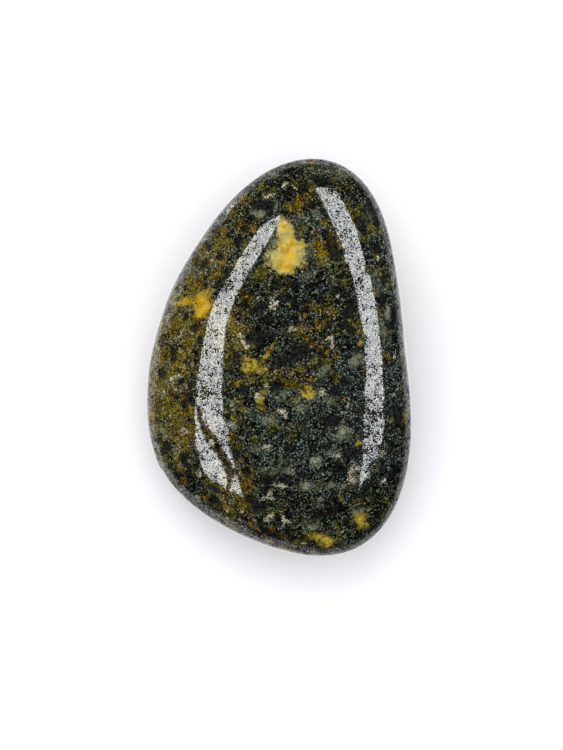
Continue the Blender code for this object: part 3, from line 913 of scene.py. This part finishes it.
def rock_colour(tree, field, crystal):
    """Colour and tone of the rock without its marks, with painted glints and painted shade on specks."""
    patchy = scaled(tree, maths(tree, "SUBTRACT", crystal["Hue"], HUE_MIDDLE), PATCHINESS)
    warm = step(tree, scaled(tree, field["warm"], WARM_REACH, patchy), *ZONE_EDGE)
    cool = step(tree, maths(tree, "SUBTRACT", field["cool"], patchy), *ZONE_EDGE)
    tone = lean(tree, crystal["Tone"], field, TONE_LEAN)
    gold = step(tree, lean(tree, crystal["Stain"], field, STAIN_LEAN), *STAIN_EDGE)
    bare = scaled(tree, warm, PYROXENE_IN_WARM, PYROXENE_STRENGTH)
    layers = (
        ("moss", field["dark"], tone), ("cool", cool, tone), ("warm", warm, tone),
        ("gold", gold, lean(tree, tone, field, GOLD_LEAN)),
        ("pyroxene", scaled(tree, crystal["Pyroxene"], bare), tone))
    base = rock_ramp(tree, tone, ROCKS["neutral"])
    for rock, share, level in layers:
        base = blend(tree, share, base, rock_ramp(tree, level, ROCKS[rock]))
    # Painted glint: a few specks whitened in the base colour.
    painted_glint = scaled(tree, step(tree, crystal["Shine"], *PAINTED_GLINT_EDGE), PAINTED_GLINT_STRENGTH)
    base = blend(tree, painted_glint, base, own_colour(PAINTED_GLINT_WHITE))
    # Painted shade: a few specks blackened in the base colour as pores.
    pore_shade = scaled(tree, rest_of(tree, step(tree, crystal["Shine"], *PORE_SHADE_EDGE)), PORE_SHADE_STRENGTH)
    return blend(tree, pore_shade, base, own_colour(PORE_SHADE_BLACK)), tone


# %% [markdown]
# ## The stone's material
# The marks are laid over the rock and the pits are cut last, their colour darkened with painted shade.
# The polish is a coat over a rough base, because polished rock mirrors sharply on top of colours that
# are dull. Each speck takes the polish a little differently, and pits and rust take none. At a grazing
# angle even a rough face mirrors, so there the pits and specks no longer break the shine.

# %% Material
PIT_AMOUNT = 0.092
PIT_LEAN = {"torn": 0.11, "epidote": -0.16, "amber": -0.16, "yellow": -0.16}
# The pits' base colour darkens towards this grey: painted shade in the hollows.
PIT_SHADE_GREY = (33, 34, 31)
PIT_SHADE_STRENGTH = 0.8
PIT_DEPTH = 0.04
PITS_FADE = (0.6, 0.95)
RUST_GRAIN = 0.5
RUST_EDGE = (-0.5, -0.1)
LEAST_SHINE = 0.55
SPECK_SHINE = 0.45
GRAZING = (0.5, 0.85)
ROUGHNESS = 0.5
DULL_ROUGHNESS = 0.3
COAT_ROUGHNESS = 0.05
COAT_IOR = 1.5


def lay_marks(tree, base, tone, place, field, crystal):
    """The base colour with every kind of mark laid over it, and each kind's mask."""
    masks = {}
    for kind, (dark, light, *shape) in MARK_LOOKS.items():
        inputs = {
            "Base": base, "Field": field[kind], "Place": place, "Tone": tone, "Cloud": crystal["Cloud"],
            "Speck": crystal["Speck"], "Dark": own_colour(dark), "Light": own_colour(light),
            **dict(zip(SHAPE_INPUTS, shape))}
        laid = node(tree, "Group", inputs, node_tree=marks_group).outputs
        base, masks[kind] = laid["Colour"], laid["Mask"]
    return base, masks


def polish(tree, pits, field, crystal):
    """How dull the base is, and the weight of its coat."""
    facing = node(tree, "LayerWeight", {"Blend": 0.5}).outputs["Facing"]
    broken = scaled(tree, pits, rest_of(tree, step(tree, facing, *PITS_FADE)))
    rust = scaled(tree, centred(tree, crystal["Speck"]), RUST_GRAIN, field["rust"])
    dull = maths(tree, "MAXIMUM", broken, step(tree, rust, *RUST_EDGE))
    shine = scaled(tree, crystal["Shine"], SPECK_SHINE, LEAST_SHINE)
    shine = maths(tree, "MAXIMUM", shine, step(tree, facing, *GRAZING))
    return dull, scaled(tree, shine, rest_of(tree, dull))


def stone_material():
    """Rock, marks and pits as the base colour, pits with painted shade, under a thin uneven polish."""
    material = bpy.data.materials.new("polished_bluestone")
    material.use_nodes = True
    tree = material.node_tree
    place = vector(tree, "SCALE", node(tree, "TexCoord").outputs["Object"], Scale=1.0 / MM)
    field = {kind: node(tree, "Attribute", attribute_name=kind).outputs["Fac"] for kind in fields}
    crystal = node(tree, "Group", {"Place": place}, node_tree=crystals_group).outputs
    base, masks = lay_marks(tree, *rock_colour(tree, field, crystal), place, field, crystal)
    amount = lean(tree, PIT_AMOUNT, {**field, **masks}, PIT_LEAN)
    pits = node(tree, "Group", {"Place": place, "Amount": amount}, node_tree=pits_group).outputs["Mask"]
    dull, coat = polish(tree, pits, field, crystal)
    relief = {"Height": scaled(tree, pits, -1.0), "Distance": PIT_DEPTH * MM, "Strength": 1.0}
    # Below, the pits' base colour is blended towards a grey: painted shade in their hollows.
    finish = {
        "Base Color": blend(tree, scaled(tree, pits, PIT_SHADE_STRENGTH), base, own_colour(PIT_SHADE_GREY)),
        "Roughness": scaled(tree, dull, DULL_ROUGHNESS, ROUGHNESS), "Coat Weight": coat,
        "Normal": node(tree, "Bump", relief).outputs["Normal"], "Specular IOR Level": 0.0,
        "Coat Roughness": COAT_ROUGHNESS, "Coat IOR": COAT_IOR}
    for socket, value in finish.items():
        plug(tree, tree.nodes["Principled BSDF"].inputs[socket], value)
    return material


stone.data.materials.append(stone_material())
print("nodes in the stone's material:", len(stone.active_material.node_tree.nodes))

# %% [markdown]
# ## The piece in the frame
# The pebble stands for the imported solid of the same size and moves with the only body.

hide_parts("palm_stone")
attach(stone, "root")
print("declared:", stone.name)

# %% [markdown]
# ## Camera
# The stone is seen from straight above, a little off its middle, through a long lens, which keeps its
# near and far sides to nearly one scale. PIXEL is how many mm one pixel covers at the girth. The width
# of the sensor lies along the picture's longer side, which here is its height.

# %% Camera
PIXEL = 0.16393
FRAME_HEIGHT_PIXELS = 750
SENSOR = 36.0
CLIP_START = 50.0

camera_data = bpy.data.cameras.new("camera")
camera_data.sensor_width = SENSOR
camera_data.lens = SENSOR * CAMERA_RISE / (PIXEL * FRAME_HEIGHT_PIXELS)
camera_data.clip_start = CLIP_START * MM
camera = bpy.data.objects.new("camera", camera_data)
camera.location = np.array([*CAMERA_PLACE, GIRTH_HEIGHT + CAMERA_RISE]) * MM
bpy.context.scene.collection.objects.link(camera)
bpy.context.scene.camera = camera
print("lens:", round(camera_data.lens, 1), "mm")

# %% [markdown]
# ## Light
# Two long softboxes left and right of the table give the two bands of reflected light. The polish is
# even, so each end and nick of a band comes from the shape of its light: a glowing sheet with an
# outline of its own, seen in the polish alone. A broad window above the small end lights the stone's
# colours and throws the faint shadow.

# %% Softboxes
# Turn and climb give the direction of a light from the stone, and roll turns it about that line. The
# corners of an outline are mm along and across the light. The directions were fitted to the photo's two
# bands. The corners were traced by a program from the edges of the bands, back through the polish, and
# then thinned out and rounded.
LIGHT_DISTANCE = 500.0
SOFTBOX_RADIANCE = 16.5
SOFTBOX_COLOUR = (0.965, 0.975, 1.0, 1.0)
SOFTBOXES = {
    "left_softbox": {
        "turn": 186.7, "climb": 52.4, "roll": -18.5,
        "outline": (
            (-500, 85), (-465, 50), (-430, 0), (-380, -25), (-270, -35), (-170, -60), (-115, -73),
            (0, -77), (160, -78), (330, -88), (413, -101), (434, -74), (454, -22), (484, 77), (430, 85),
            (240, 88), (150, 88), (0, 90), (-60, 72), (-100, 84), (-310, 95), (-395, 105))},
    "right_softbox": {
        "turn": 15.7, "climb": 51.6, "roll": 4.1,
        "outline": (
            (571, 98), (496, 18), (440, -40), (380, -60), (300, -55), (200, -60), (100, -67), (36, -60),
            (-10, -75), (-100, -70), (-180, -60), (-230, -60), (-265, -75), (-295, -73), (-320, -92),
            (-345, -120), (-360, -98), (-385, -70), (-412, -55), (-422, 3), (-451, 41), (-467, 88),
            (-494, 130), (-410, 103), (-290, 100), (-230, 114), (-160, 118), (-85, 108), (-57, 113),
            (-10, 100), (36, 86), (75, 95), (140, 94), (212, 108), (430, 110))},
}


def light_plane(turn, climb, roll=0.0):
    """Three unit vectors: along a light's length, across it, and from the stone towards it. The length
    lies level and is then rolled about the line to the stone."""
    turn, climb, roll = map(math.radians, (turn, climb, roll))
    level_part = math.cos(climb)
    towards = np.array([math.cos(turn) * level_part, math.sin(turn) * level_part, math.sin(climb)])
    level = np.cross([0.0, 0.0, 1.0], towards)
    level /= np.linalg.norm(level)
    raised = np.cross(towards, level)
    along = level * math.cos(roll) + raised * math.sin(roll)
    across = raised * math.cos(roll) - level * math.sin(roll)
    return along, across, towards


def add_softbox(name, outline, **aim):
    """A glowing sheet with the outline's corners in the plane of the light, seen only in the polish."""
    along, across, towards = light_plane(**aim)
    corners = np.array(outline, float) @ np.stack([along, across])
    corners += towards * LIGHT_DISTANCE + [0.0, 0.0, GIRTH_HEIGHT]
    mesh = bpy.data.meshes.new(name)
    mesh.from_pydata((corners * MM).tolist(), [], [list(range(len(corners)))])
    glow = bpy.data.materials.new(name)
    glow.use_nodes = True
    tree = glow.node_tree
    shine = node(tree, "Emission", {"Color": SOFTBOX_COLOUR, "Strength": SOFTBOX_RADIANCE})
    plug(tree, tree.nodes["Material Output"].inputs["Surface"], shine.outputs["Emission"])
    mesh.materials.append(glow)
    box = bpy.data.objects.new(name, mesh)
    box.visible_camera = box.visible_diffuse = box.visible_shadow = box.visible_transmission = False
    bpy.context.scene.collection.objects.link(box)
    print(name, "has", len(outline), "corners")


for name, softbox in SOFTBOXES.items():
    add_softbox(name, **softbox)

# %% Window
WINDOW = {"turn": 100.0, "climb": 45.0, "length": 500.0, "width": 350.0, "radiance": 1.6}


def add_window(turn, climb, length, width, radiance):
    """A rectangular lamp that faces the stone and lights its colours but not its polish."""
    lamp = bpy.data.lights.new("window", "AREA")
    lamp.shape = "RECTANGLE"
    lamp.size, lamp.size_y = length * MM, width * MM
    lamp.energy = radiance * math.pi * lamp.size * lamp.size_y
    window = bpy.data.objects.new("window", lamp)
    axes = light_plane(turn, climb)
    turned = np.eye(4)
    turned[:3, :3] = np.stack(axes, axis=1)
    turned[:3, 3] = (axes[2] * LIGHT_DISTANCE + [0.0, 0.0, GIRTH_HEIGHT]) * MM
    window.matrix_world = Matrix(turned.tolist())
    window.visible_glossy = False
    bpy.context.scene.collection.objects.link(window)
    print("window:", round(lamp.energy, 2), "watts")


add_window(**WINDOW)

# %% [markdown]
# ## Table and room
# The table is white paper, bright enough to burn out to pure white away from the stone. The polish
# mirrors it in a pool round the stone and a dark studio beyond, which gives the rim its bright line and
# its dark band. The pool also glows in the mirror, as burnt-out paper does. That glow is for mirrored
# rays alone, so the paper isn't sampled as a lamp. The white room lights the stone but isn't mirrored,
# and the Standard view shows light as it is, so that white stays white.

# %% Table
FLOOR_HALF_WIDTH = 3.0
POOL_SIZE = (22.0, 33.0)
POOL_SHIFT = (0.15, -0.35, 0.0)
POOL_EDGE = (2.1, 3.6)
PAPER_WHITE = 0.9
PAPER_GLOW = 0.55
PAPER_ROUGHNESS = 0.9


def paper_material():
    """White to the camera and to the light, but black to a mirrored ray that meets it past the pool."""
    paper = bpy.data.materials.new("white_paper")
    paper.use_nodes = True
    paper.cycles.emission_sampling = "NONE"
    tree = paper.node_tree
    stretch = (1.0 / (POOL_SIZE[0] * MM), 1.0 / (POOL_SIZE[1] * MM), 0.0)
    reach = vector(tree, "MULTIPLY_ADD", node(tree, "TexCoord").outputs["Object"], stretch, POOL_SHIFT)
    reach = node(tree, "VectorMath", {0: reach}, operation="LENGTH").outputs["Value"]
    mirrored = node(tree, "LightPath").outputs["Is Glossy Ray"]
    unseen = scaled(tree, mirrored, step(tree, reach, *POOL_EDGE))
    finish = {
        "Base Color": scaled(tree, unseen, -PAPER_WHITE, PAPER_WHITE),
        "Emission Color": maths(tree, "SUBTRACT", mirrored, unseen), "Emission Strength": PAPER_GLOW,
        "Roughness": PAPER_ROUGHNESS, "Specular IOR Level": 0.0}
    for socket, value in finish.items():
        plug(tree, tree.nodes["Principled BSDF"].inputs[socket], value)
    return paper


bpy.ops.mesh.primitive_plane_add(size=2 * FLOOR_HALF_WIDTH)
floor = bpy.context.object
floor.name = "floor"
floor.data.materials.append(paper_material())
print("floor:", 2 * FLOOR_HALF_WIDTH, "m wide")

# %% Room
ROOM_COLOUR = (0.97, 0.957, 1.0, 1.0)
ROOM_RADIANCE = 1.22

world = bpy.data.worlds.new("studio")
world.use_nodes = True
background = world.node_tree.nodes["Background"]
plug(world.node_tree, background.inputs["Color"], ROOM_COLOUR)
plug(world.node_tree, background.inputs["Strength"], ROOM_RADIANCE)
world.cycles_visibility.glossy = False
bpy.context.scene.world = world
bpy.context.scene.view_settings.view_transform = "Standard"
print("room radiance:", ROOM_RADIANCE)
